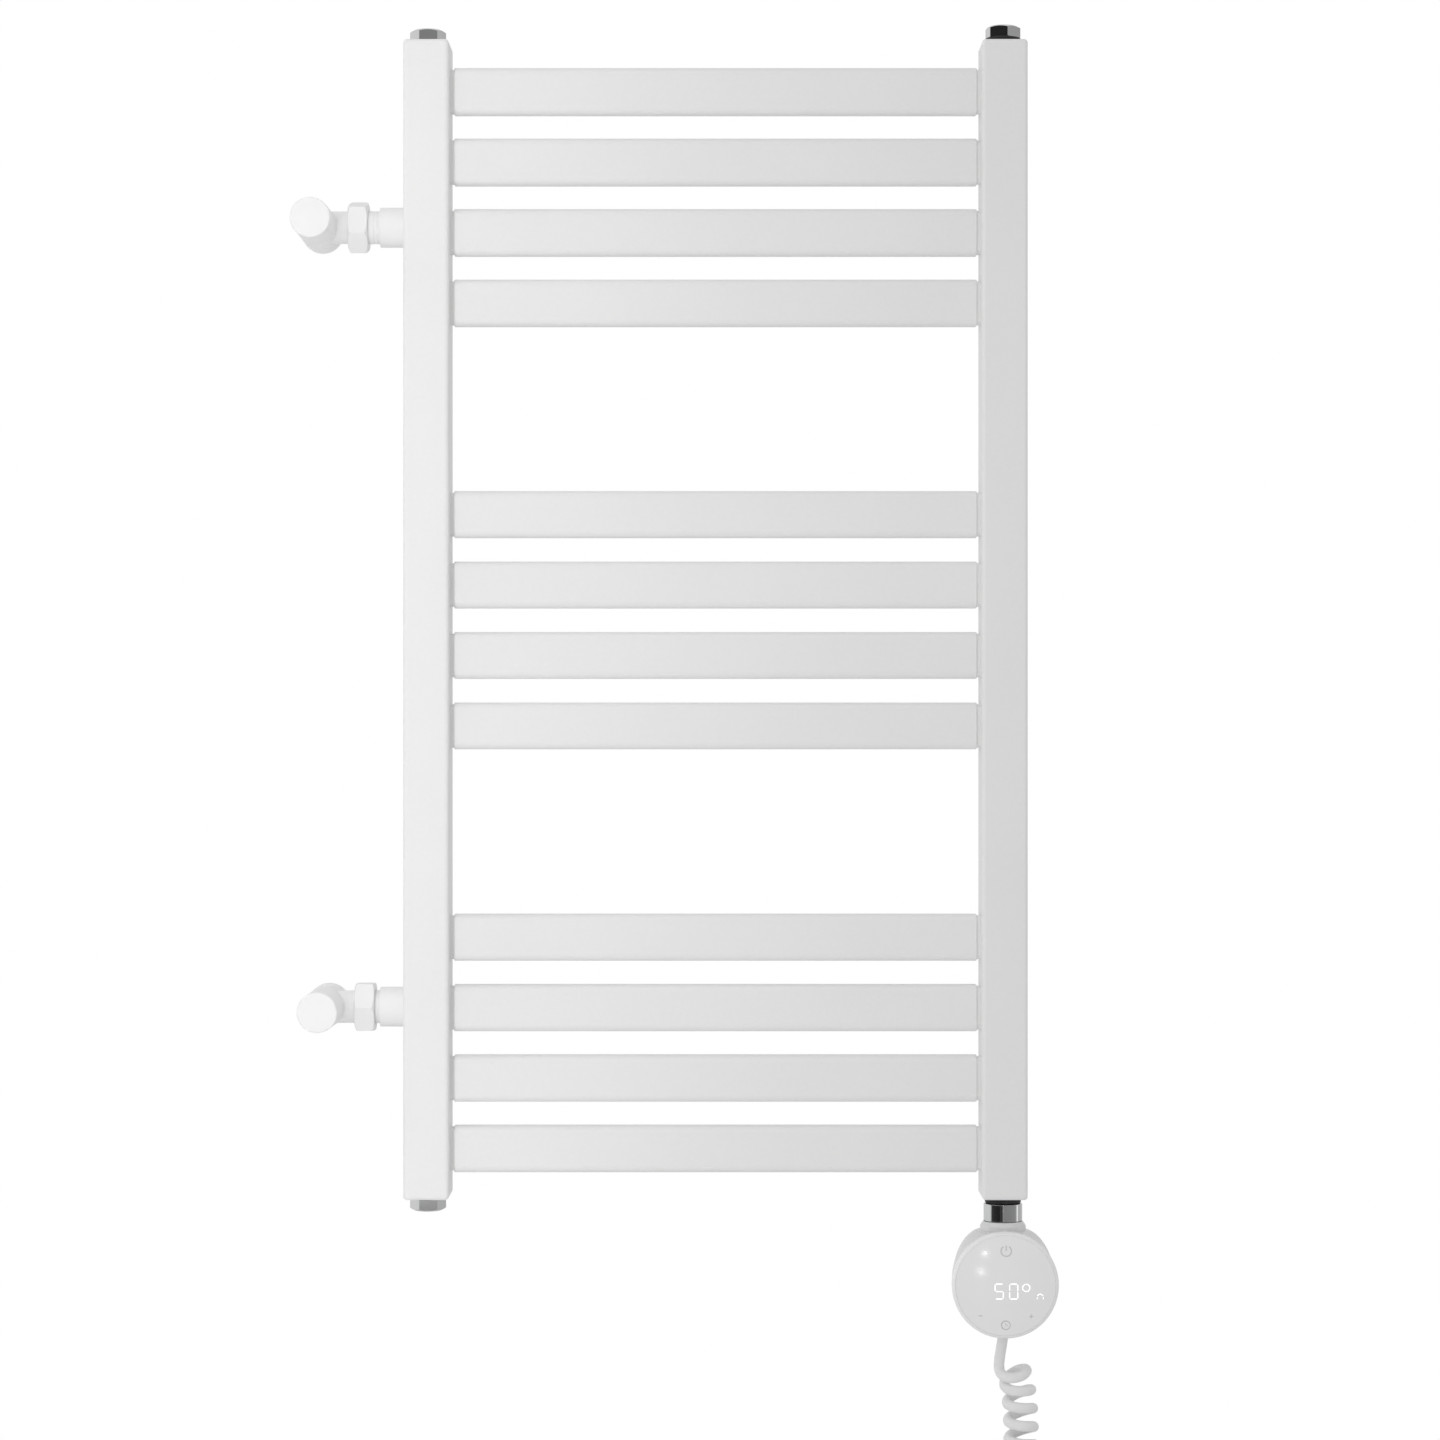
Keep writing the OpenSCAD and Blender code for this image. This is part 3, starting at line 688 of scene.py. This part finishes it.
def add_plugs():
    """Two blank plugs on flat seals, and the air vent on its thicker ring."""
    top = upright(LEFT_X, TOP_Z)
    bottom = upright(LEFT_X, -TOP_Z) @ Matrix.Rotation(math.pi, 4, "X")
    blank = plug_outline(FLAT_SEAL_H)
    hexagon_piece("blank_plug_top", PLUG_FLATS, blank, PLUG_TURN, top, "plug_top_left")
    hexagon_piece("blank_plug_bottom", PLUG_FLATS, blank, -PLUG_TURN, bottom, "plug_bottom_left")
    bm = bmesh.new()
    for place in (top, bottom):
        turned(bm, [(9.3, 0), (11.2, 0, 0.3), (11.2, FLAT_SEAL_H, 0.3), (9.3, FLAT_SEAL_H)], place)
    settle(make_object(bm, "flat_seals"), "plug_seals")
    vent = upright(RIGHT_X, TOP_Z)
    hexagon_piece("vent_plug_body", PLUG_FLATS, plug_outline(VENT_SEAL_H, pocket=True), VENT_TURN,
                  vent, "vent_plug")
    turned_piece("vent_ring_seal", [(9.3, 0, 0.4), (11.6, 0, 1.2), (11.6, VENT_SEAL_H, 1.2),
                                    (9.3, VENT_SEAL_H, 0.4)], vent, "vent_seal")
    refined("vent_screw", rounding=0.12)


# ---- angle valves -------------------------------------------------------------------------

NUT_FLATS = 30
NUT_LEN = 13
NUT_TURN = {"top": 133, "bottom": 151}    # degrees about the union's axis
CAST_VOXEL = 0.36

def thread_rings(radius, depth, low, high, pitch=1.8):
    """Saw-tooth outline of a thread, run out as rings."""
    outline = []
    height = low
    while height + pitch <= high:
        outline += [(radius, height), (radius + depth, height + pitch / 2)]
        height += pitch
    return outline + [(radius, height)]


def add_valve_body(place_name, x, z):
    """Cast angle body: inlet ring, barrel and side branch blended into each other."""
    bm = bmesh.new()
    barrel = from_wall(x, z)
    turned(bm, [(0, 42), (13.4, 42, 0.7), (13.4, 54.6, 0.5), (12.5, 54.9), (12.5, 55.5),
                (12.9, 55.8), (12.9, 81.5, 0.5), (0, 81.5)], barrel)
    branch = to_left(x, z)
    turned(bm, [(0, -24), (11.9, -24, 0.4), (11.9, -19.4, 0.3), (10.4, -19.4), (10.4, 0), (0, 0)],
           branch)
    piece = make_object(bm, "angle_body_" + place_name)
    cast = piece.modifiers.new("cast", "REMESH")
    cast.mode = "VOXEL"
    cast.voxel_size = CAST_VOXEL * MM
    blend = piece.modifiers.new("blend", "SMOOTH")
    blend.factor = 0.5
    blend.iterations = 5
    apply_modifiers(piece)
    bm = bmesh.new()
    turned(bm, [(0, 40)] + [(9.9, 40), (9.9, 42.4), (9.3, 43)]
           + thread_rings(9.3, 0.7, 43.2, 53) + [(9.3, 54), (0, 54)], barrel, steps=64)
    combine(piece, make_object(bm, "inlet_thread"), "DIFFERENCE")
    bm = bmesh.new()
    turned(bm, [(0, 75.5), (10, 75.5), (10, 83), (0, 83)], barrel, steps=64)
    combine(piece, make_object(bm, "bonnet_seat"), "DIFFERENCE")
    shade(piece.data)
    settle(piece, "valve_body_" + place_name)


def add_valve(place_name):
    """One angle valve with its union to the collector, every piece turned on its own axis."""
    x = middle("valve_knob_" + place_name)[0]
    z = middle("valve_knob_" + place_name)[2]
    union = to_left(LEFT_LOW[0], z)
    nut_start = (LEFT_LOW[0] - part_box("union_nut_" + place_name)[1][0]) / MM
    nut_end = nut_start + NUT_LEN
    flange = nut_start + 4
    turned_piece("rosette_" + place_name,
                 [(10.6, 0), (12.75, 0), (12.75, 16, 0.6), (10.6, 16, 0.2)],
                 union, "tail_sleeve_" + place_name)
    turned_piece("tail_piece_" + place_name,
                 [(7, -8), (9.2, -8, 0.5), (9.2, 0), (10.5, 0), (10.5, 16.9), (10.3, 17.1),
                  (10.3, 17.3), (10.5, 17.5), (10.5, 19.2, 0.15), (10.0, 19.4, 0.1),
                  (10.0, 19.7, 0.1), (10.5, 19.9, 0.15), (10.5, flange), (12, flange, 0.2),
                  (12, flange + 2.5, 0.2), (7, flange + 2.5)],
                 union, "union_tail_" + place_name)
    hexagon_piece("union_nut_body_" + place_name, NUT_FLATS,
                  [(10.6, nut_start), (14.6, nut_start, 0.4), (17.5, nut_start + 1.4),
                   (17.5, nut_end - 1.8), (13.6, nut_end, 0.4), (12.1, nut_end), (12.1, flange),
                   (10.6, flange)],
                  NUT_TURN[place_name], union, "union_nut_" + place_name, rounding=0.4)
    add_valve_body(place_name, x, z)
    turned_piece("round_knob_" + place_name,
                 [(0, 122), (12.75, 122, 0.9), (12.75, 82.5, 0.5), (9, 82.5, 0.3), (9, 93),
                  (3.05, 93, 0.3), (3.05, 113), (0, 113)],
                 from_wall(x, z), "valve_knob_" + place_name, steps=128)
    for part in ("valve_bonnet_", "valve_stem_"):
        refined(part + place_name, rounding=0.25)


# ---- heating element and controller -------------------------------------------------------

DOME_R = 260
GLASS_R = 31.6
FACE_FRONT = -FACE_Y / MM
SHOULDER_FROM_R = 20
SHOULDER_SWELL = 0.12
SHOULDER_TOP = 30
SHOULDER_RISE = 3.2


def dome(radius):
    """Height of the cover glass above the wall at a distance from its middle."""
    return FACE_FRONT - (DOME_R - math.sqrt(DOME_R ** 2 - radius ** 2))


def add_heater():
    """Chrome fitting with its seal; the rod inside the collector keeps its CAD shape."""
    axis = upright(RIGHT_X, 0)
    turned_piece("heater_ring_seal", [(9.3, -374, 0.4), (11.6, -374, 1.4), (11.6, -370, 1.4),
                                      (9.3, -370, 0.4)], axis, "heater_seal")
    turned_piece("chrome_fitting",
                 [(3, -400), (9, -400, 0.5), (9, -398.4), (8.1, -398.3), (8.1, -396.7), (9, -396.6),
                  (9, -385), (12.4, -385, 0.2), (12.4, -374, 0.5), (9.2, -374), (9.2, -362, 0.6),
                  (3, -362)], axis, "heater_fitting", steps=128)


def raise_shoulders(bm):
    """Swells the drum into a flat-topped shoulder on each side of the collar.

    It grows with the angle above level, sets in 46 mm from the wall and is gone at 87 mm."""
    for vert in bm.verts:
        across, up, depth = vert.co / MM
        radius = math.hypot(across, up)
        if radius < SHOULDER_FROM_R or up < 0:
            continue
        lift = smooth_step(math.degrees(math.asin(up / radius)), 10, 62)
        lift *= smooth_step(depth, 46, 62) * (1 - smooth_step(depth, 74, 87)) * SHOULDER_SWELL
        across, up = across * (1 + lift), up * (1 + lift)
        if up > SHOULDER_TOP and lift > 0:
            up = SHOULDER_TOP + SHOULDER_RISE * math.tanh((up - SHOULDER_TOP) / SHOULDER_RISE)
        vert.co = Vector((across, up, depth)) * MM


def add_head():
    """Round controller head: collar, drum, bezel and domed cover glass."""
    face = from_wall(RIGHT_X, HEAD_Z)
    turned_piece("swivel_collar",
                 [(9.05, -394.6), (14.7, -394.6), (14.7, -388.2, 1.5), (12.7, -385.3, 0.8),
                  (12.45, -385.3, 0.1), (12.45, -386.3), (9.05, -386.3)],
                 upright(RIGHT_X, 0), "head_collar", steps=128)
    bm = bmesh.new()
    turned(bm, [(0, 48.5), (31.2, 48.5, 6.0), (32.0, 60, 2), (32.4, 66), (32.8, 72), (33.2, 78),
                (33.6, 83), (HEAD_R, 87.9, 0.3), (32, 87.9), (30.2, 60), (28, 50.5, 3), (0, 50.5)],
           Matrix.Identity(4), steps=160, fillet_steps=7)
    raise_shoulders(bm)
    bmesh.ops.transform(bm, matrix=face, verts=bm.verts)
    settle(make_object(bm, "rear_shell"), "head_shell")
    bezel = turned_piece("bezel_ring",
                         [(29, 88.1), (HEAD_R, 88.1, 0.25), (HEAD_R, 92.4, 2.2),
                          (32.7, 94.55, 0.8), (31.95, 94.66, 0.05), (31.95, 93.5), (29, 93.5)],
                         face, "front_bezel", steps=160)
    # The bezel keeps the plain white moulding; the shell's darker grey is painted shade.
    bezel.data.materials[0] = BEZEL
    rings = [(r, dome(r)) for r in (GLASS_R, 27, 23, 18, 13, 8, 3)]
    turned_piece("cover_glass",
                 [(0, 93.5), (31.9, 93.5), (31.9, dome(GLASS_R) - 0.12, 0.12)] + rings
                 + [(0, FACE_FRONT)], face, "face_lens", steps=160, sharp=math.radians(50))
    refined("cord_gland", rounding=0.3)


# ---- display and key prints ------------------------------------------------------------------

PROUD = 0.05
SUNK = 0.12
DIGIT_HALF_W = 2.6
DIGIT_HALF_H = 4.75
DIGIT_STROKE = 0.5
DIGIT_V = -3.45


def stroke(bm, u, v, length, width, angle):
    """Straight stroke with rounded ends, flat on the face; angle 0 lies across."""
    place = Matrix.Translation((u * MM, v * MM, 0)) @ Matrix.Rotation(math.radians(angle), 4, "Z")
    flat_bar(bm, (length, width, 0.45 * width), -SUNK, PROUD, place)


def ring_stroke(bm, u, v, radius, width, start=0, sweep=360, steps=40):
    """Curved stroke round a centre; start is measured from the right."""
    before = set(bm.verts)
    inner, outer = radius - width / 2, radius + width / 2
    corners = [(inner, -SUNK), (outer, -SUNK), (outer, PROUD), (inner, PROUD)]
    verts = [bm.verts.new((r * MM, 0, h * MM)) for r, h in corners]
    face = bm.faces.new(verts)
    bmesh.ops.spin(bm, geom=[face], cent=(0, 0, 0), axis=(0, 0, 1), dvec=(0, 0, 0),
                   angle=math.radians(sweep), steps=steps, use_merge=sweep == 360,
                   use_duplicate=False)
    if sweep == 360 and face.is_valid:
        bmesh.ops.delete(bm, geom=[face], context="FACES_ONLY")
    fresh = [v for v in bm.verts if v not in before]
    place = Matrix.Translation((u * MM, v * MM, 0)) @ Matrix.Rotation(math.radians(start), 4, "Z")
    bmesh.ops.transform(bm, matrix=place, verts=fresh)


def digit(bm, u, v, segments):
    """Seven-segment digit centred on (u, v); segments are named a to g."""
    half_w, half_h = DIGIT_HALF_W, DIGIT_HALF_H
    bars = {"a": (0, half_h, 0), "b": (half_w, half_h / 2, 90), "c": (half_w, -half_h / 2, 90),
            "d": (0, -half_h, 0), "e": (-half_w, -half_h / 2, 90), "f": (-half_w, half_h / 2, 90),
            "g": (0, 0, 0)}
    for name in segments:
        du, dv, angle = bars[name]
        length = 2 * half_w - 1.0 if angle == 0 else half_h - 0.9
        stroke(bm, u + du, v + dv, length, DIGIT_STROKE, angle)


def pressed_on_face(bm, name, look):
    """Lays flat strokes on the domed cover glass and makes them a piece."""
    for vert in bm.verts:
        vert.co.z += dome(math.hypot(vert.co.x, vert.co.y) / MM) * MM
    bmesh.ops.transform(bm, matrix=from_wall(RIGHT_X, HEAD_Z), verts=bm.verts)
    piece = make_object(bm, name)
    piece.data.materials.append(look)
    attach(piece, NODE_BODY["face_lens"])


def add_face_marks():
    """Lit digits and heat sign, and the faint prints of the touch keys."""
    bm = bmesh.new()
    digit(bm, -4.3, DIGIT_V, "afgcd")
    digit(bm, 4.9, DIGIT_V, "abcdef")
    ring_stroke(bm, 12.9, -1.1, 2.45, DIGIT_STROKE, start=22.5, steps=8)
    ring_stroke(bm, 21.8, -6.9, 1.75, 0.42, start=15, sweep=150, steps=12)
    for side in (-1, 1):
        stroke(bm, 21.8 + side * 2.0, -7.9, 1.1, 0.38, 90 + side * 8)
    pressed_on_face(bm, "lit_digits", LIGHT)
    bm = bmesh.new()
    ring_stroke(bm, 0.2, 22.1, 3.3, 0.85, start=122, sweep=296)
    stroke(bm, 0.2, 23.9, 3.6, 0.85, 90)
    stroke(bm, -16.1, -19.05, 2.7, 0.75, 0)
    stroke(bm, 16.1, -19.4, 2.6, 0.75, 0)
    for side in (-1, 1):
        stroke(bm, 16.1, -19.4 + side * 0.86, 0.9, 0.75, 90)
    ring_stroke(bm, 0, -25.0, 2.8, 0.6)
    stroke(bm, 0, -24.3, 1.4, 0.5, 90)
    stroke(bm, 0.55, -25.1, 1.0, 0.5, -20)
    pressed_on_face(bm, "key_prints", PRINT)


# ---- mains plug ------------------------------------------------------------------------------

def add_plug():
    """Moulded round-pin plug: ribbed cable boot, waisted grip, side earth contacts."""
    place = Matrix.Translation((PLUG_X, AXIS_Y, PLUG_TOP)) @ Matrix.Rotation(math.pi, 4, "X")
    boot = []
    for rib in range(5):
        height = 1.2 + 2.1 * rib
        boot += [(5.3 + 0.12 * rib, height, 0.15), (5.3 + 0.12 * rib, height + 1.3, 0.15),
                 (4.7 + 0.12 * rib, height + 1.5), (4.7 + 0.12 * rib, height + 2.0)]
    outline = [(0, 0), (4.9, 0, 0.5)] + boot + [
        (6.4, 12.0, 1.0), (11.5, 14.8, 2.5), (14.6, 19.5, 3.0), (15.6, 22.6, 1.0), (18.2, 24.4, 1.0),
        (18.5, 34, 1.1), (0, 34)]
    bm = bmesh.new()
    turned(bm, outline, place, steps=128)
    piece = make_object(bm, "moulded_plug")
    bm = bmesh.new()
    for side in (-1, 1):
        notch = place @ Matrix.Translation((0, side * 18.6 * MM, 0))
        flat_bar(bm, (6.4, 5.2, 0.8), 25.5, 36, notch)
    combine(piece, make_object(bm, "earth_notches"), "DIFFERENCE")
    bm = bmesh.new()
    for side in (-1, 1):
        for rib in range(7):
            groove = place @ Matrix.Translation((side * 18.9 * MM, (rib - 3) * 2.2 * MM, 0))
            flat_bar(bm, (1.4, 0.9, 0.3), 26.4, 31.6, groove)
    combine(piece, make_object(bm, "grip_grooves"), "DIFFERENCE")
    shade(piece.data)
    settle(piece, "mains_plug")
    bm = bmesh.new()
    for side in (-1, 1):
        strip = place @ Matrix.Translation((0, side * 15.9 * MM, 0))
        flat_bar(bm, (5.0, 0.6, 0.25), 24.6, 33.4, strip, high_end=quarter_round(0.2, 2))
    earth = make_object(bm, "earth_contacts")
    earth.data.materials.append(NICKEL)
    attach(earth, NODE_BODY["mains_plug"])
    bm = bmesh.new()
    for side in (-1, 1):
        pin = place @ Matrix.Translation((side * 9.5 * MM, 0, 0))
        turned(bm, [(0, 33.5), (2.4, 33.5), (2.4, 53, 2.0), (0, 53)], pin, steps=48, fillet_steps=8)
    pins = settle(make_object(bm, "round_pins"), "plug_pins")
    return [piece, earth, pins]


def add_cord():
    """Curly mains lead as one curve of round section."""
    points, joint = cord_points()
    points = smoothed(points, 2, joint + 10, 3)
    data = bpy.data.curves.new("mains_lead", "CURVE")
    data.dimensions = "3D"
    data.bevel_depth = CORD_D / 2
    data.bevel_resolution = 4
    data.use_fill_caps = True
    spline = data.splines.new("POLY")
    spline.points.add(len(points) - 1)
    for target, point in zip(spline.points, points):
        target.co = (*point, 1)
    spline.use_smooth = True
    cord = bpy.data.objects.new("mains_lead", data)
    bpy.context.scene.collection.objects.link(cord)
    data.materials.append(PVC)
    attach(cord, NODE_BODY["cord_coil"])
    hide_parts("cord_lead", "cord_coil", "cord_tail")
    length = sum((b - a).length for a, b in zip(points, points[1:]))
    return cord, length


# ---- studio --------------------------------------------------------------------------------

FLOOR_Z = -0.95


def add_floor():
    """Plain pale floor well below the radiator."""
    bm = bmesh.new()
    bmesh.ops.create_grid(bm, x_segments=8, y_segments=8, size=1)
    bmesh.ops.scale(bm, vec=(2.4, 1.6, 1), verts=bm.verts)
    bmesh.ops.translate(bm, vec=(0, 0.45, FLOOR_Z), verts=bm.verts)
    floor = make_object(bm, "studio_floor")
    finish = Finish("studio_floor", IOR=1.45)
    finish.feed("Base Color", finish.ramp(finish.noise(2), [(0.3, grey(0.86)), (0.7, grey(0.88))]))
    finish.feed("Roughness", 0.6 + 0.1 * finish.noise(5))
    floor.data.materials.append(finish.material)


def add_lamp(name, place, aim, size, power):
    """Soft rectangular lamp pointed at a spot."""
    data = bpy.data.lights.new(name, "AREA")
    data.shape = "RECTANGLE"
    data.size, data.size_y = size
    data.energy = power
    lamp = bpy.data.objects.new(name, data)
    lamp.location = place
    lamp.rotation_euler = (Vector(aim) - Vector(place)).to_track_quat("-Z", "Y").to_euler()
    bpy.context.scene.collection.objects.link(lamp)
    return lamp


# Light of the studio from below, level and above; then what chrome sees in front, left to right.
SKY = (0.66, 0.63, 0.64)
FRONT_LEVELS = [(0.0, 0.8), (0.012, 0.8), (0.02, 0.06), (0.1, 0.03), (0.3, 0.02), (0.36, 0.07),
                (0.44, 0.015), (0.47, 0.3), (0.8, 0.32), (0.97, 0.36), (1.0, 0.5)]
FACE_GLINTS = (("upper_glint", (0.094, -2.495, -0.361)), ("lower_glint", (0.042, -2.486, -0.594)))


def grey_stops(levels):
    """Stops of a grey ramp from pairs of position and level."""
    return [(position, grey(level)) for position, level in levels]


def add_world():
    """White backdrop; a studio that is dark in front for chrome and soft white for the rest."""
    world = bpy.data.worlds.new("studio")
    bpy.context.scene.world = world
    world.use_nodes = True
    sky = Nodes(world.node_tree, "Background")
    way = sky.node("ShaderNodeTexCoord", output="Generated")

    def along(axis, low, high):
        part = sky.node("ShaderNodeSeparateXYZ", None, {0: way}, output=axis)
        return sky.node("ShaderNodeMapRange", None, {0: part, 1: low, 2: high})

    across, upward, depth = along(0, -1.0, 1.0), along(2, -1.0, 1.0), along(1, -0.04, 0.02)
    front = sky.ramp(across, grey_stops(FRONT_LEVELS))
    behind = sky.ramp(across, grey_stops([(0.0, 0.9), (0.5, 0.75), (1.0, 0.6)]))
    overhead = sky.ramp(upward, grey_stops([(0.0, 0.0), (0.8, 0.0), (0.9, 1.0)]))
    glossy = sky.mix(overhead, sky.mix(depth, front, behind), grey(0.9))
    soft = sky.ramp(upward, grey_stops([(0.0, SKY[0]), (0.5, SKY[1]), (1.0, SKY[2])]))
    studio = sky.mix(sky.node("ShaderNodeLightPath", output="Is Glossy Ray"), soft, glossy)
    seen = sky.mix(sky.node("ShaderNodeLightPath", output="Is Camera Ray"), studio, grey(1.0))
    sky.feed("Color", seen)


def add_studio():
    """Backdrop, floor and lamps."""
    bpy.context.scene.view_settings.view_transform = "Standard"
    add_floor()
    add_world()
    key = add_lamp("key", (-0.3, -0.56, -0.03), (-0.3, 0.0, -0.03), (0.12, 1.5), 1.6)
    key.visible_glossy = False
    key.visible_camera = False
    add_lamp("left_glint", (-0.78, -2.4, 0.15), (0.0, -0.08, 0.0), (0.06, 0.06), 1.0)
    add_lamp("rim_left", (-0.91, -0.3, 0.57), (RIGHT_X, -0.1, HEAD_Z), (0.3, 0.3), 0.35)
    add_lamp("rim_right", (1.35, -0.05, -0.38), (RIGHT_X, -0.1, HEAD_Z), (0.25, 0.6), 0.3)
    for name, place in FACE_GLINTS:
        add_lamp(name, place, (RIGHT_X, -0.1, HEAD_Z), (0.045, 0.045), 0.2)


# ---- everything put together ---------------------------------------------------------------

add_camera()
cord, cord_length = add_cord()
plug_pieces = add_plug()
add_collectors()
add_rails()
add_brackets()
add_plugs()
for valve in VALVES:
    add_valve(valve)
add_heater()
add_head()
add_face_marks()

for name, thing in frame["nodes"].items():
    for holder in thing.material_slots:
        holder.material = SLOT_LOOKS[NODE_SLOT[name]]

for thing in bpy.context.scene.objects:
    if thing.type == "MESH" and thing.name not in frame["nodes"]:
        even = thing.modifiers.new("even_shading", "WEIGHTED_NORMAL")
        even.keep_sharp = True

add_studio()
